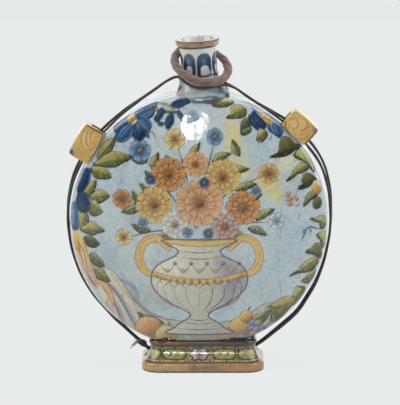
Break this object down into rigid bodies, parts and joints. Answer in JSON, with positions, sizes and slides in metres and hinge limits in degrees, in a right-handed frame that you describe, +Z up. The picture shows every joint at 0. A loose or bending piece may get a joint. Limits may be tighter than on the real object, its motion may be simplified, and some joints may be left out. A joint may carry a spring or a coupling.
{
  "type": "pilgrim flask",
  "caption": "Flattened round glazed ceramic flask with a short neck, shoulder lugs, a hollow foot, a rope ring and a carrying cord.",
  "frame": {"origin": "on the table under the middle of the flask's body, at the foot's underside", "axes": "+Z up, -Y out of the painted front, +X to the right as seen from the front"},
  "size_m": [0.2404, 0.09, 0.3013],
  "materials": {
    "painted_glaze": "gloss",
    "foot_glaze": "gloss",
    "ochre_glaze": "gloss",
    "cord_leather": "worn",
    "ring_rope": "twisted rope",
    "whipping_thread": "twine"
  },
  "bodies": {
    "flask": {"front_panel": "painted_glaze", "back_panel": "painted_glaze", "side_band": "painted_glaze", "neck": "painted_glaze", "foot": "foot_glaze", "lug_left": "ochre_glaze", "lug_right": "ochre_glaze", "cord_front": "cord_leather", "cord_back": "cord_leather", "foot_knot": "cord_leather"},
    "neck_ring": {"carry_ring": "ring_rope", "ring_whipping": "whipping_thread"}
  },
  "joints": [
    {"name": "ring_tilt", "type": "hinge", "parent": "flask", "child": "neck_ring", "pos_m": [0.0021, 0.003, 0.276], "axis": [-0.9703, 0, 0.2419], "range_deg": [0, 25]}
  ]
}
